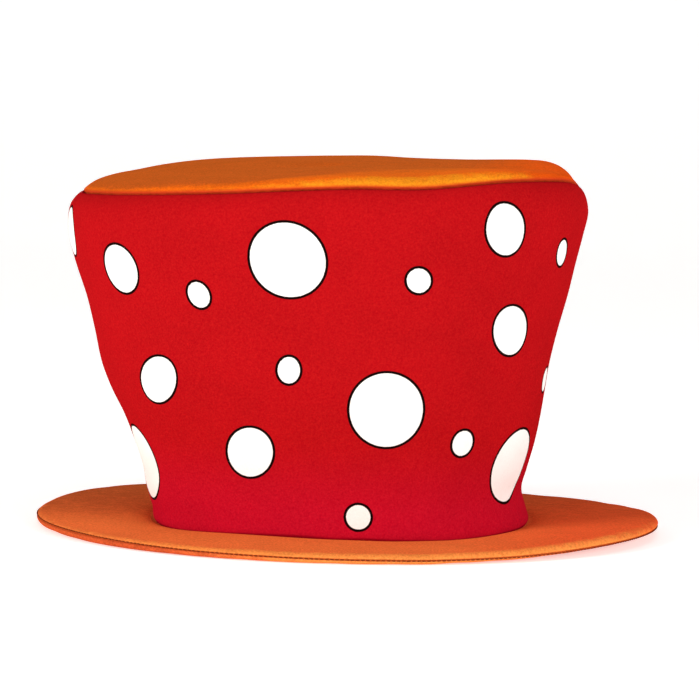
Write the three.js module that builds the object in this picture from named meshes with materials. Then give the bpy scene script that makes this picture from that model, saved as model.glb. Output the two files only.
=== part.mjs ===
// A clown's top hat in foam-backed cloth: a red crown side that flares out from the
// head to a rolled shoulder, an orange puffed top sewn into it, and a flat padded
// orange brim. Millimetres, +Z up. The origin is on the table under the middle of the
// brim, X runs along the long axis of the head opening and the side that the
// photograph shows faces -Y.
import * as THREE from "three";

// Driving sizes
const HEAD_LENGTH = 194;
const HEAD_WIDTH = 178;
const HEAD_SQUARENESS = 2.5; // 2 is an ellipse, more has fuller corners
const CROWN_SHIFT = -3.6; // the crown stands this far off the middle of the brim
const CROWN_WALL = 3.5;
const CROWN_HEIGHT = 180.5; // from the brim's upper face to the top seam
const FLARE_LEFT = 48; // how far the shoulder stands out beyond the base
const FLARE_RIGHT = 28;
const FLARE_FRONT = 36;
const FLARE_BACK = 36;
const TOP_SQUARENESS = 2.1;
const SEAM_SLANT = 40; // degrees down from level, of the faces that meet at the top seam
const SEAM_WAVE = 8; // the height that the shares in the seam table stand for
const TOP_THICKNESS = 3.5;
const TOP_ROLL = 8; // how far in from the seam the top's rounded edge reaches
const TOP_ROLL_RISE = 5; // how far that edge rises above the seam
const TOP_DOME = 4.5; // how far the middle rises above the rounded edge
const BRIM_LENGTH = 334;
const BRIM_WIDTH = 305;
const BRIM_THICKNESS = 5;
const BRIM_WAVE = 4; // the height that the shares in the brim's columns stand for
const BASE_SEAM_THICKNESS = 3.5; // the brim where the crown side's seam squeezes it
const EDGE_SEAM_DEPTH = 0.5; // how far the seam round the brim's edge draws it in
const SEWN_GAP = 0.3; // between two pieces that are sewn together
const COLUMNS = 64; // facets round the hat

// Outside of the crown side. height runs from the base, 0, to the top seam, 1, and
// the other columns are shares of the flare on that side.
const CROWN_SECTIONS = [
  { height: 0.0, left: -0.02, right: -0.03, front: -0.02, back: -0.02 },
  { height: 0.012, left: 0.0, right: 0.0, front: 0.0, back: 0.0 },
  { height: 0.04, left: 0.01, right: -0.05, front: 0.01, back: 0.01 },
  { height: 0.1, left: 0.08, right: -0.14, front: 0.04, back: 0.05 },
  { height: 0.16, left: 0.125, right: -0.045, front: 0.1, back: 0.12 },
  { height: 0.24, left: 0.225, right: 0.085, front: 0.2, back: 0.22 },
  { height: 0.32, left: 0.35, right: 0.18, front: 0.3, back: 0.32 },
  { height: 0.4, left: 0.505, right: 0.255, front: 0.4, back: 0.41 },
  { height: 0.48, left: 0.615, right: 0.33, front: 0.5, back: 0.5 },
  { height: 0.58, left: 0.69, right: 0.475, front: 0.61, back: 0.61 },
  { height: 0.68, left: 0.78, right: 0.645, front: 0.73, back: 0.72 },
  { height: 0.78, left: 0.905, right: 0.787, front: 0.85, back: 0.84 },
  { height: 0.86, left: 0.985, right: 0.91, front: 0.94, back: 0.94 },
  { height: 0.92, left: 1.0, right: 0.99, front: 1.0, back: 1.0 },
  { height: 0.96, left: 0.975, right: 0.955, front: 0.975, back: 0.975 },
  { height: 0.983, left: 0.92, right: 0.89, front: 0.92, back: 0.92 },
  { height: 1.0, left: 0.85, right: 0.8, front: 0.84, back: 0.84 },
];

// Heights round the hat. turn is in degrees from the right, anticlockwise from above.
// seam is the top seam's share of SEAM_WAVE. edge and base are the brim's share of
// BRIM_WAVE at its edge and at the head opening, and below 0 it lies flat on the table.
const ROUND_THE_HAT = [
  { turn: 0, seam: 0.15, edge: 0.9, base: 0.5 },
  { turn: 30, seam: 0.56, edge: 0.3, base: 0.25 },
  { turn: 60, seam: 0.52, edge: -0.12, base: -0.1 },
  { turn: 90, seam: 0.58, edge: 0.1, base: 0.05 },
  { turn: 120, seam: 0.25, edge: 0.3, base: 0.1 },
  { turn: 150, seam: -0.64, edge: 0.75, base: 0.2 },
  { turn: 180, seam: -1.02, edge: 0.3, base: 0.15 },
  { turn: 210, seam: -0.87, edge: 0.08, base: -0.05 },
  { turn: 240, seam: -0.33, edge: 0.0, base: 0.35 },
  { turn: 270, seam: 0.1, edge: -0.1, base: 0.15 },
  { turn: 300, seam: 0.54, edge: 0.2, base: -0.05 },
  { turn: 330, seam: 0.85, edge: 0.9, base: 0.5 },
];

// The brim's rings from the head opening, out 0, to the start of its rounded edge,
// out 1. squeeze is the share of the way from BRIM_THICKNESS to BASE_SEAM_THICKNESS.
const BRIM_RINGS = [
  { out: 0.0, squeeze: 1.0 },
  { out: 0.07, squeeze: 1.0 },
  { out: 0.1, squeeze: 0.5 },
  { out: 0.15, squeeze: 0.15 },
  { out: 0.22, squeeze: 0.0 },
  { out: 0.5, squeeze: 0.0 },
  { out: 0.75, squeeze: 0.0 },
  { out: 1.0, squeeze: 0.0 },
];
const EDGE_ARC_STEPS = 6; // an even number, so that a ring lies on the edge's seam
const TOP_ROLL_STEPS = 5;
const TOP_SPANS = 7; // rings between the rounded edge and the middle

const RED = 0xc8141c;
const ORANGE = 0xe8642c;
const CLOTH_ROUGHNESS = 0.8;

// The value of one column of a table, eased between its rows. A table that goes
// round the hat starts again after `period`.
function readTable(rows, at, key, column, period = 0) {
  const count = rows.length;
  const place = period ? ((at % period) + period) % period : at;
  let low = 0;
  while (low < count - 1 && rows[low + 1][key] <= place) low += 1;
  if (!period) low = Math.min(low, count - 2);
  const row = (index) => {
    if (!period) {
      const kept = rows[Math.min(Math.max(index, 0), count - 1)];
      return { at: kept[key], value: kept[column] };
    }
    const laps = Math.floor(index / count);
    const kept = rows[index - laps * count];
    return { at: kept[key] + laps * period, value: kept[column] };
  };
  const [before, from, to, after] = [row(low - 1), row(low), row(low + 1), row(low + 2)];
  const span = to.at - from.at;
  const slope = (a, b) => (b.at > a.at ? (b.value - a.value) / (b.at - a.at) : 0);
  const leaving = slope(before, to) * span;
  const arriving = slope(from, after) * span;
  const t = (place - from.at) / span;
  return (
    from.value * (2 * t ** 3 - 3 * t ** 2 + 1) +
    leaving * (t ** 3 - 2 * t ** 2 + t) +
    to.value * (3 * t ** 2 - 2 * t ** 3) +
    arriving * (t ** 3 - t ** 2)
  );
}

const degrees = (turn) => THREE.MathUtils.radToDeg(turn);
const roundTheHat = (turn, column) =>
  readTable(ROUND_THE_HAT, degrees(turn), "turn", column, 360);

// Distance from the middle of an oval to its outline
function ovalReach(turn, halfLength, halfWidth, squareness) {
  const along = Math.abs(Math.cos(turn) / halfLength) ** squareness;
  const across = Math.abs(Math.sin(turn) / halfWidth) ** squareness;
  return (along + across) ** (-1 / squareness);
}

const headReach = (turn) =>
  ovalReach(turn, HEAD_LENGTH / 2, HEAD_WIDTH / 2, HEAD_SQUARENESS);
const brimReach = (turn) => ovalReach(turn, BRIM_LENGTH / 2, BRIM_WIDTH / 2, 2);

// The brim's width on one side of the hat, less its rounded edge
const brimFlat = (turn) => brimReach(turn) - headReach(turn) - BRIM_THICKNESS / 2;

// The brim's underside and its upper face, at a distance out from the head opening
function brimUnderside(turn, out) {
  const base = roundTheHat(turn, "base");
  const edge = roundTheHat(turn, "edge");
  const share = Math.min(out / brimFlat(turn), 1);
  return Math.max(0, BRIM_WAVE * (base + (edge - base) * share));
}

function brimUpper(turn, out) {
  const share = Math.min(out / brimFlat(turn), 1);
  const squeeze = readTable(BRIM_RINGS, share, "out", "squeeze");
  const thickness = BRIM_THICKNESS - (BRIM_THICKNESS - BASE_SEAM_THICKNESS) * squeeze;
  return brimUnderside(turn, out) + thickness;
}

// A point at a distance out from the crown's upright middle line
function fromCrown(turn, reach, height) {
  return new THREE.Vector3(
    CROWN_SHIFT + reach * Math.cos(turn),
    reach * Math.sin(turn),
    height,
  );
}

const seamHeight = (turn) =>
  BRIM_THICKNESS + SEWN_GAP + CROWN_HEIGHT + SEAM_WAVE * roundTheHat(turn, "seam");

// How far the crown side stands out and how high it is, at a share of its height
function crownOutside(turn, share) {
  const shareOf = (column) => readTable(CROWN_SECTIONS, share, "height", column);
  const ends = Math.cos(turn) > 0
    ? FLARE_RIGHT * shareOf("right")
    : FLARE_LEFT * shareOf("left");
  const faces = Math.sin(turn) > 0
    ? FLARE_BACK * shareOf("back")
    : FLARE_FRONT * shareOf("front");
  const base = headReach(turn) + CROWN_WALL;
  const lobe = Math.cos(turn) ** 2;
  const squared = ovalReach(turn, base + ends, base + faces, TOP_SQUARENESS);
  const plain = ovalReach(turn, base + ends, base + faces, 2);
  const reach = base + ends * lobe + faces * (1 - lobe) + squared - plain;
  const foot = brimUpper(turn, CROWN_WALL) + SEWN_GAP;
  return new THREE.Vector2(reach, foot + (seamHeight(turn) - foot) * share);
}

// The same wall's inside: a wall's thickness in from the outside, square to it
function crownInside(turn, share) {
  const step = 0.004;
  const here = crownOutside(turn, share);
  const along = crownOutside(turn, Math.min(share + step, 1))
    .sub(crownOutside(turn, Math.max(share - step, 0)))
    .normalize();
  return new THREE.Vector2(here.x - along.y * CROWN_WALL, here.y + along.x * CROWN_WALL);
}

// At the top seam: from the outside of the cloth to its inside, and from the crown
// side to the top
const seamSlant = THREE.MathUtils.degToRad(SEAM_SLANT);
const throughSeam = (thickness) =>
  new THREE.Vector2(-Math.cos(seamSlant), -Math.sin(seamSlant)).multiplyScalar(thickness);
const acrossSeam = (gap) =>
  new THREE.Vector2(-Math.sin(seamSlant), Math.cos(seamSlant)).multiplyScalar(gap);

// A closed body round the hat. sectionAt(turn) gives the same number of points for
// each turn, going up the outside. A lathe makes the faces, and each of its columns
// of points is then moved onto its own section.
function turned(sectionAt) {
  const outline = sectionAt(0).map((point) => new THREE.Vector2(Math.abs(point.x), point.z));
  const geometry = new THREE.LatheGeometry(outline, COLUMNS);
  const position = geometry.getAttribute("position");
  for (let column = 0; column <= COLUMNS; column += 1) {
    const turn = ((column % COLUMNS) / COLUMNS) * 2 * Math.PI;
    sectionAt(turn).forEach((point, row) =>
      position.setXYZ(column * outline.length + row, point.x, point.y, point.z),
    );
  }
  geometry.computeVertexNormals();
  return geometry;
}

function crownSideSection(turn) {
  const shares = CROWN_SECTIONS.map((row) => row.height);
  const between = shares
    .slice(1)
    .map((share, index) => (share + shares[index]) / 2)
    .filter((share) => share > 0.2 && share < 0.99);
  const stations = [...shares, ...between].sort((a, b) => a - b);
  const outside = stations.map((share) => crownOutside(turn, share));
  const seam = outside[outside.length - 1];
  const inside = stations
    .filter((share) => share > 0.05 && share < 0.97)
    .reverse()
    .map((share) => crownInside(turn, share));
  const foot = new THREE.Vector2(headReach(turn), brimUpper(turn, 0) + SEWN_GAP);
  const section = [...outside, seam.clone().add(throughSeam(CROWN_WALL)), ...inside, foot];
  section.push(section[0]);
  return section.map((point) => fromCrown(turn, point.x, point.y));
}

// The upper face of the crown's top. share runs from the middle, 0, to the seam, 1.
function topOutside(turn, share) {
  const seam = crownOutside(turn, 1);
  const reach = seam.x * share;
  const inset = Math.min((seam.x - reach) / TOP_ROLL, 1);
  const roll = TOP_ROLL_RISE * Math.sqrt(1 - (1 - inset) ** 2);
  const middle = BRIM_THICKNESS + SEWN_GAP + CROWN_HEIGHT + TOP_DOME;
  return new THREE.Vector2(reach, middle + (seam.y - middle) * share ** 2 + roll);
}

function crownTopSection(turn) {
  const seam = crownOutside(turn, 1);
  const flatShare = 1 - TOP_ROLL / seam.x;
  const upper = [];
  for (let ring = 0; ring < TOP_SPANS; ring += 1) {
    upper.push(topOutside(turn, (flatShare * ring) / TOP_SPANS));
  }
  const lower = upper.map((point) => new THREE.Vector2(point.x, point.y - TOP_THICKNESS));
  for (let step = 0; step < TOP_ROLL_STEPS; step += 1) {
    const arc = ((step / TOP_ROLL_STEPS) * Math.PI) / 2;
    upper.push(topOutside(turn, flatShare + (1 - flatShare) * Math.sin(arc)));
  }
  const rim = seam.clone().add(acrossSeam(SEWN_GAP));
  lower.push(rim.clone().add(throughSeam(TOP_THICKNESS)));
  const section = [...lower, rim, ...upper.reverse()];
  return section.map((point) => fromCrown(turn, point.x, point.y));
}

function brimSection(turn) {
  const inner = headReach(turn);
  const flat = brimFlat(turn);
  const radius = BRIM_THICKNESS / 2;
  const place = (out, height) => {
    const reach = inner + out;
    const shift = CROWN_SHIFT * (1 - Math.min(out / flat, 1));
    return new THREE.Vector3(shift + reach * Math.cos(turn), reach * Math.sin(turn), height);
  };
  const rings = BRIM_RINGS.slice(0, -1).map((row) => row.out * flat);
  const lower = rings.map((out) => place(out, brimUnderside(turn, out)));
  const upper = rings.map((out) => place(out, brimUpper(turn, out))).reverse();
  const edge = [];
  for (let step = 0; step <= EDGE_ARC_STEPS; step += 1) {
    const arc = (step / EDGE_ARC_STEPS - 0.5) * Math.PI;
    const drawnIn = step === EDGE_ARC_STEPS / 2 ? EDGE_SEAM_DEPTH : 0;
    const out = flat + radius * Math.cos(arc) - drawnIn;
    edge.push(place(out, brimUnderside(turn, flat) + radius + radius * Math.sin(arc)));
  }
  return [...lower, ...edge, ...upper, lower[0]];
}

function cloth(name, geometry, color) {
  const material = new THREE.MeshStandardMaterial({
    color,
    roughness: CLOTH_ROUGHNESS,
    metalness: 0,
  });
  const mesh = new THREE.Mesh(geometry, material);
  mesh.name = name;
  return mesh;
}

const hat = new THREE.Group();
hat.add(cloth("brim", turned(brimSection), ORANGE));
hat.add(cloth("crown_side", turned(crownSideSection), RED));
hat.add(cloth("crown_top", turned(crownTopSection), ORANGE));

export default hat;
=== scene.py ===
# %% [markdown]
# # A clown's top hat in foam-backed cloth
#
# The hat is soft. A brushed knit is laminated to thin foam, cut into three kinds of
# panel and sewn inside out: a red dotted side that flares out from the head, an orange
# top and an orange brim of two layers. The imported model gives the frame: where each
# piece sits and how big it is. Here each piece is dressed as the cloth it really is.

# %% Load the frame
import math

import bpy
import numpy as np
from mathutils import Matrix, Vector
from mathutils.kdtree import KDTree


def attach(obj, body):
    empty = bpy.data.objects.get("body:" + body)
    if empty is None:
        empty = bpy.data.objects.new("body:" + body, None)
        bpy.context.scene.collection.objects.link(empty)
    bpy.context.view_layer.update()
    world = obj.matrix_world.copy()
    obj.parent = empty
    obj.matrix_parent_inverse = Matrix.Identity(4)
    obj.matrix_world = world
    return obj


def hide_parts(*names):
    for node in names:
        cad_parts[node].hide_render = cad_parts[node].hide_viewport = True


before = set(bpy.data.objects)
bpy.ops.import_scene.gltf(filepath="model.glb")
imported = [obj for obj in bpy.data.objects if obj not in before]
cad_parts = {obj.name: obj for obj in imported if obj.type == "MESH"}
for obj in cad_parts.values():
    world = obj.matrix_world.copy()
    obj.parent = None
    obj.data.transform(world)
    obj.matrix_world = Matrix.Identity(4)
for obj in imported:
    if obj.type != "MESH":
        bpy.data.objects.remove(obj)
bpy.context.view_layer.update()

MM = 0.001  # the sizes below are in millimetres, and Blender's unit is the metre

# %% [markdown]
# ## The hat's own sizes
#
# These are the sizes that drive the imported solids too. The head opening is an oval with
# slightly square corners, as a hat that has been pressed flat for sending has. The wall
# is one layer of laminate, and the brim is two layers with their foam.

# %% Driving sizes
HEAD_LENGTH = 194
HEAD_WIDTH = 178
HEAD_SQUARENESS = 2.5
CROWN_SHIFT = -3.6
CROWN_WALL = 3.5
CROWN_HEIGHT = 180.5
FLARE = {"left": 48, "right": 28, "front": 36, "back": 36}
TOP_SQUARENESS = 2.1
SEAM_SLANT = 40
SEAM_WAVE = 8
TOP_THICKNESS = 3.5
TOP_ROLL = 8
TOP_ROLL_RISE = 5
TOP_DOME = 4.5
BRIM_LENGTH = 334
BRIM_WIDTH = 305
BRIM_THICKNESS = 5
BRIM_WAVE = 4
BASE_SEAM_THICKNESS = 3.5
SEWN_GAP = 0.3
print("head opening", HEAD_LENGTH, "by", HEAD_WIDTH, "mm")
print("brim", BRIM_LENGTH, "by", BRIM_WIDTH, "mm")

# %% [markdown]
# ## How the hat slumps
#
# A soft crown never stands evenly. It could be sculpted, but the numbers of a table can
# be read and changed one by one. The first table is its side as a share of the flare
# at each height: the left bulges low and flares far, the right is pinched above the
# brim. The second goes round the hat and says how the top seam dips and how the brim
# lifts off the table. The third says how far out on the brim the crown's seam squeezes
# it. The last two add the small waves of a hand-guided seam, in millimetres. The top's
# table also says how high its edge rolls beside the seam, as a share, how strong the
# painted highlight is on that roll, and how far that highlight and the painted light
# beside it reach over the top.

# %% Tables of the slumped form
CROWN_SECTIONS = [
    {"height": 0.0, "left": -0.02, "right": -0.03, "front": -0.02, "back": -0.02},
    {"height": 0.012, "left": 0.0, "right": 0.0, "front": 0.0, "back": 0.0},
    {"height": 0.04, "left": 0.01, "right": -0.05, "front": 0.01, "back": 0.01},
    {"height": 0.1, "left": 0.08, "right": -0.14, "front": 0.04, "back": 0.05},
    {"height": 0.16, "left": 0.125, "right": -0.045, "front": 0.1, "back": 0.12},
    {"height": 0.24, "left": 0.225, "right": 0.085, "front": 0.2, "back": 0.22},
    {"height": 0.32, "left": 0.35, "right": 0.18, "front": 0.3, "back": 0.32},
    {"height": 0.4, "left": 0.505, "right": 0.255, "front": 0.4, "back": 0.41},
    {"height": 0.48, "left": 0.615, "right": 0.33, "front": 0.5, "back": 0.5},
    {"height": 0.58, "left": 0.69, "right": 0.475, "front": 0.61, "back": 0.61},
    {"height": 0.68, "left": 0.78, "right": 0.645, "front": 0.73, "back": 0.72},
    {"height": 0.78, "left": 0.905, "right": 0.787, "front": 0.85, "back": 0.84},
    {"height": 0.86, "left": 0.985, "right": 0.91, "front": 0.94, "back": 0.94},
    {"height": 0.92, "left": 1.0, "right": 0.99, "front": 1.0, "back": 1.0},
    {"height": 0.96, "left": 0.975, "right": 0.955, "front": 0.975, "back": 0.975},
    {"height": 0.983, "left": 0.92, "right": 0.89, "front": 0.92, "back": 0.92},
    {"height": 1.0, "left": 0.85, "right": 0.8, "front": 0.84, "back": 0.84},
]
ROUND_THE_HAT = [
    {"turn": 0, "seam": 0.15, "edge": 0.9, "base": 0.5},
    {"turn": 30, "seam": 0.56, "edge": 0.3, "base": 0.25},
    {"turn": 60, "seam": 0.52, "edge": -0.12, "base": -0.1},
    {"turn": 90, "seam": 0.58, "edge": 0.1, "base": 0.05},
    {"turn": 120, "seam": 0.25, "edge": 0.3, "base": 0.1},
    {"turn": 150, "seam": -0.64, "edge": 0.75, "base": 0.2},
    {"turn": 180, "seam": -1.02, "edge": 0.3, "base": 0.15},
    {"turn": 210, "seam": -0.87, "edge": 0.08, "base": -0.05},
    {"turn": 240, "seam": -0.33, "edge": 0.0, "base": 0.35},
    {"turn": 270, "seam": 0.1, "edge": -0.1, "base": 0.15},
    {"turn": 300, "seam": 0.54, "edge": 0.2, "base": -0.05},
    {"turn": 330, "seam": 0.85, "edge": 0.9, "base": 0.5},
]
BRIM_RINGS = [
    {"out": 0.0, "squeeze": 1.0},
    {"out": 0.07, "squeeze": 1.0},
    {"out": 0.1, "squeeze": 0.5},
    {"out": 0.15, "squeeze": 0.15},
    {"out": 0.22, "squeeze": 0.0},
    {"out": 0.5, "squeeze": 0.0},
    {"out": 0.75, "squeeze": 0.0},
    {"out": 1.0, "squeeze": 0.0},
]
# After the lift and the roll, the columns give the painted highlight on the roll, how wide it
# reaches, and how far the painted light reaches over the top.
TOP_SEAM = [
    {"turn": 0, "lift": -1.2, "roll": 0.9, "painted_highlight": 0.0, "painted_highlight_wide": 8, "painted_light_wide": 90},
    {"turn": 25, "lift": 0.9, "roll": 1.0, "painted_highlight": 0.0, "painted_highlight_wide": 8, "painted_light_wide": 70},
    {"turn": 55, "lift": -0.9, "roll": 1.0, "painted_highlight": 0.3, "painted_highlight_wide": 8, "painted_light_wide": 20},
    {"turn": 90, "lift": -1.0, "roll": 1.0, "painted_highlight": 0.5, "painted_highlight_wide": 8, "painted_light_wide": 16},
    {"turn": 120, "lift": -1.1, "roll": 1.0, "painted_highlight": 0.4, "painted_highlight_wide": 8, "painted_light_wide": 14},
    {"turn": 142, "lift": -0.1, "roll": 1.0, "painted_highlight": 0.2, "painted_highlight_wide": 8, "painted_light_wide": 10},
    {"turn": 165, "lift": 0.0, "roll": 0.9, "painted_highlight": 0.1, "painted_highlight_wide": 6, "painted_light_wide": 8},
    {"turn": 190, "lift": 0.9, "roll": 0.7, "painted_highlight": 0.0, "painted_highlight_wide": 6, "painted_light_wide": 7},
    {"turn": 212, "lift": 1.3, "roll": 0.6, "painted_highlight": 0.1, "painted_highlight_wide": 5, "painted_light_wide": 7},
    {"turn": 240, "lift": 0.7, "roll": 0.75, "painted_highlight": 0.35, "painted_highlight_wide": 7, "painted_light_wide": 15},
    {"turn": 258, "lift": 1.3, "roll": 0.9, "painted_highlight": 0.7, "painted_highlight_wide": 10, "painted_light_wide": 30},
    {"turn": 272, "lift": 1.2, "roll": 1.0, "painted_highlight": 0.95, "painted_highlight_wide": 13, "painted_light_wide": 60},
    {"turn": 288, "lift": -0.4, "roll": 1.1, "painted_highlight": 1.0, "painted_highlight_wide": 17, "painted_light_wide": 85},
    {"turn": 308, "lift": 0.8, "roll": 1.0, "painted_highlight": 0.85, "painted_highlight_wide": 11, "painted_light_wide": 85},
    {"turn": 328, "lift": -1.2, "roll": 0.95, "painted_highlight": 0.0, "painted_highlight_wide": 8, "painted_light_wide": 90},
    {"turn": 344, "lift": -1.9, "roll": 0.85, "painted_highlight": 0.0, "painted_highlight_wide": 8, "painted_light_wide": 90},
]
FOOT_SEAM = [
    {"turn": 0, "lift": 0.0},
    {"turn": 90, "lift": 0.0},
    {"turn": 190, "lift": 0.0},
    {"turn": 212, "lift": -0.5},
    {"turn": 233, "lift": -0.3},
    {"turn": 256, "lift": 0.4},
    {"turn": 268, "lift": -0.2},
    {"turn": 278, "lift": 0.3},
    {"turn": 292, "lift": -0.1},
    {"turn": 308, "lift": -0.5},
    {"turn": 328, "lift": -0.6},
]
print(len(CROWN_SECTIONS), "sections of the crown,", len(ROUND_THE_HAT), "turns round it")


# %% Reading a table between its rows
def read_table(rows, at, key, column, period=0):
    """One column of a table at many places, eased between the rows."""
    keys = np.array([row[key] for row in rows], float)
    values = np.array([row[column] for row in rows], float)
    if period:
        at = np.mod(at, period)
        keys = np.concatenate((keys - period, keys, keys + period))
        values = np.tile(values, 3)
    slopes = np.gradient(values, keys)
    slopes[1:-1] = (values[2:] - values[:-2]) / (keys[2:] - keys[:-2])
    low = np.clip(np.searchsorted(keys, at, side="right") - 1, 0, len(keys) - 2)
    span = keys[low + 1] - keys[low]
    t = (at - keys[low]) / span
    from_low = values[low] * (2 * t**3 - 3 * t**2 + 1) + slopes[low] * span * (t**3 - 2 * t**2 + t)
    from_high = values[low + 1] * (3 * t**2 - 2 * t**3) + slopes[low + 1] * span * (t**3 - t**2)
    return from_low + from_high


def round_the_hat(turn, column):
    return read_table(ROUND_THE_HAT, np.degrees(turn), "turn", column, 360)


print("the seam's wave at the left:", float(round_the_hat(math.pi, "seam")))

# %% [markdown]
# ## The surfaces that the cloth follows
#
# Each surface is worked out as a distance out from the crown's middle line and a height,
# for any turn round the hat. The same four surfaces make the side, the top and the brim,
# so neighbours always meet along their seam.


# %% Surfaces of the crown and the brim
def oval_reach(turn, half_length, half_width, squareness):
    along = np.abs(np.cos(turn) / half_length) ** squareness
    across = np.abs(np.sin(turn) / half_width) ** squareness
    return (along + across) ** (-1 / squareness)


def head_reach(turn):
    return oval_reach(turn, HEAD_LENGTH / 2, HEAD_WIDTH / 2, HEAD_SQUARENESS)


def brim_flat(turn):
    """The brim's width at a turn, less its rounded edge."""
    edge = oval_reach(turn, BRIM_LENGTH / 2, BRIM_WIDTH / 2, 2)
    return edge - head_reach(turn) - BRIM_THICKNESS / 2


def brim_underside(turn, share):
    base = round_the_hat(turn, "base")
    edge = round_the_hat(turn, "edge")
    return np.maximum(0, BRIM_WAVE * (base + (edge - base) * np.minimum(share, 1)))


def brim_upper(turn, share):
    squeeze = read_table(BRIM_RINGS, np.minimum(share, 1), "out", "squeeze")
    thickness = BRIM_THICKNESS - (BRIM_THICKNESS - BASE_SEAM_THICKNESS) * squeeze
    return brim_underside(turn, share) + thickness


def along_seam(seam, turn, column):
    return read_table(seam, np.degrees(turn), "turn", column, 360)


def foot_height(turn):
    return brim_upper(turn, CROWN_WALL / brim_flat(turn)) + SEWN_GAP


def seam_height(turn):
    level = BRIM_THICKNESS + SEWN_GAP + CROWN_HEIGHT
    return level + SEAM_WAVE * round_the_hat(turn, "seam") + along_seam(TOP_SEAM, turn, "lift")


def crown_outside(turn, share):
    """The crown side's outside: columns of (reach, height), one for each turn."""

    def share_of(side):
        return FLARE[side] * read_table(CROWN_SECTIONS, share, "height", side)

    ends = np.where(np.cos(turn) > 0, share_of("right"), share_of("left"))
    faces = np.where(np.sin(turn) > 0, share_of("back"), share_of("front"))
    base = head_reach(turn) + CROWN_WALL
    lobe = np.cos(turn) ** 2
    squared = oval_reach(turn, base + ends, base + faces, TOP_SQUARENESS)
    plain = oval_reach(turn, base + ends, base + faces, 2)
    reach = base + ends * lobe + faces * (1 - lobe) + squared - plain
    foot = foot_height(turn)
    return np.stack((reach, foot + (seam_height(turn) - foot) * share), -1)


def top_outside(turn, share):
    """The top's upper face, from the middle, share 0, to the seam, share 1."""
    seam = crown_outside(turn, 1)
    reach = seam[..., 0] * share
    inset = np.minimum((seam[..., 0] - reach) / TOP_ROLL, 1)
    rise = TOP_ROLL_RISE * along_seam(TOP_SEAM, turn, "roll")
    roll = rise * np.sqrt(1 - (1 - inset) ** 2)
    middle = BRIM_THICKNESS + SEWN_GAP + CROWN_HEIGHT + TOP_DOME
    return np.stack((reach, middle + (seam[..., 1] - middle) * share**2 + roll), -1)


def from_crown(turn, section):
    """Columns of (reach, height) as points in space."""
    reach, height = section[..., 0], section[..., 1]
    return np.stack((CROWN_SHIFT + reach * np.cos(turn), reach * np.sin(turn), height), -1)


SLANT = math.radians(SEAM_SLANT)
THROUGH_SEAM = np.array((-math.cos(SLANT), -math.sin(SLANT)))
ACROSS_SEAM = np.array((-math.sin(SLANT), math.cos(SLANT)))

right_back_left_front = np.radians((0, 90, 180, 270))
print("top seam, mm above the table:", np.round(seam_height(right_back_left_front), 1))
print("crown foot, mm above the table:", np.round(foot_height(right_back_left_front), 1))

# %% [markdown]
# ## Mesh helpers
#
# A sewn piece of cloth is a closed skin. Most are rings of points joined in a loop, so
# one helper makes them all. Numbers that the cloth's material needs, such as how far a
# point lies from a printed dot, are stored on the points.


# %% Rings of points into skins
def ring_faces(count, columns, closed=True):
    """Four-sided faces between rings of points, each ring joined to the next."""
    column = np.arange(columns)
    beside = np.roll(column, -1)
    faces = []
    for ring in range(count if closed else count - 1):
        low = ring * columns
        high = (ring + 1) % count * columns
        faces.append(np.stack((low + column, low + beside, high + beside, high + column), -1))
    return np.concatenate(faces)


def make_skin(name, points, faces, materials, face_materials=0):
    """A smooth-shaded object from points in millimetres."""
    mesh = bpy.data.meshes.new(name)
    mesh.from_pydata((np.asarray(points).reshape(-1, 3) * MM).tolist(), [], faces.tolist())
    mesh.polygons.foreach_set("use_smooth", np.ones(len(mesh.polygons), bool))
    indices = np.broadcast_to(np.asarray(face_materials), len(mesh.polygons))
    mesh.polygons.foreach_set("material_index", np.ascontiguousarray(indices, dtype=np.int32))
    for material in materials:
        mesh.materials.append(material)
    mesh.update()
    skin = bpy.data.objects.new(name, mesh)
    bpy.context.scene.collection.objects.link(skin)
    return skin


def store(skin, name, values):
    """Keeps one number for each point, for the materials to read."""
    attribute = skin.data.attributes.new(name, "FLOAT", "POINT")
    attribute.data.foreach_set("value", np.asarray(values, dtype=np.float32).reshape(-1))


def points_of(skin):
    """The object's points in millimetres."""
    flat = np.empty(len(skin.data.vertices) * 3)
    skin.data.vertices.foreach_get("co", flat)
    return flat.reshape(-1, 3) / MM


print("faces between 3 closed rings of 8 points:", len(ring_faces(3, 8)))

# %% Distances and soft bends
LOOP_STEPS = 8  # each stretch of a loop is cut so finely before it is measured to
BEND_STEPS = 5


def distance_to_loop(points, loop):
    """How far each point lies from a closed loop."""
    beside = np.roll(loop, -1, axis=0)
    between = np.arange(LOOP_STEPS)[:, None, None] / LOOP_STEPS
    dense = (loop + (beside - loop) * between).reshape(-1, 3)
    tree = KDTree(len(dense))
    for index, place in enumerate(dense.tolist()):
        tree.insert(place, index)
    tree.balance()
    return np.array([tree.find(place)[2] for place in points.tolist()])


def bend_between(start, corner, end):
    """Rows of a soft corner, without its two ends."""
    rows = []
    for step in range(1, BEND_STEPS):
        t = step / BEND_STEPS
        rows.append(start * (1 - t) ** 2 + corner * 2 * t * (1 - t) + end * t**2)
    return rows


def unit(vectors):
    return vectors / np.linalg.norm(vectors, axis=-1, keepdims=True)


def fade(distance, wide):
    """1 at no distance, easing to 0 where it reaches the width."""
    t = np.clip(distance / wide, 0, 1)
    return 1 - t * t * (3 - 2 * t)


print("a fade 10 mm wide at 0, 5 and 10 mm:", fade(np.array((0, 5, 10)), 10))

# %% [markdown]
# ## The cloth
#
# The face of the laminate is a brushed knit: short fibres raised off fine loops, so it
# is matt with a faint bloom where it turns away. Up close its colour is mottled, because
# the nap lies both ways. The back of the laminate is a thin plain tricot, paler than the
# face. A picture of such cloth would need every piece unwrapped, and would repeat. So
# all of this is made from noise in the object's own space, and it stays on the cloth
# from every side.


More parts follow.
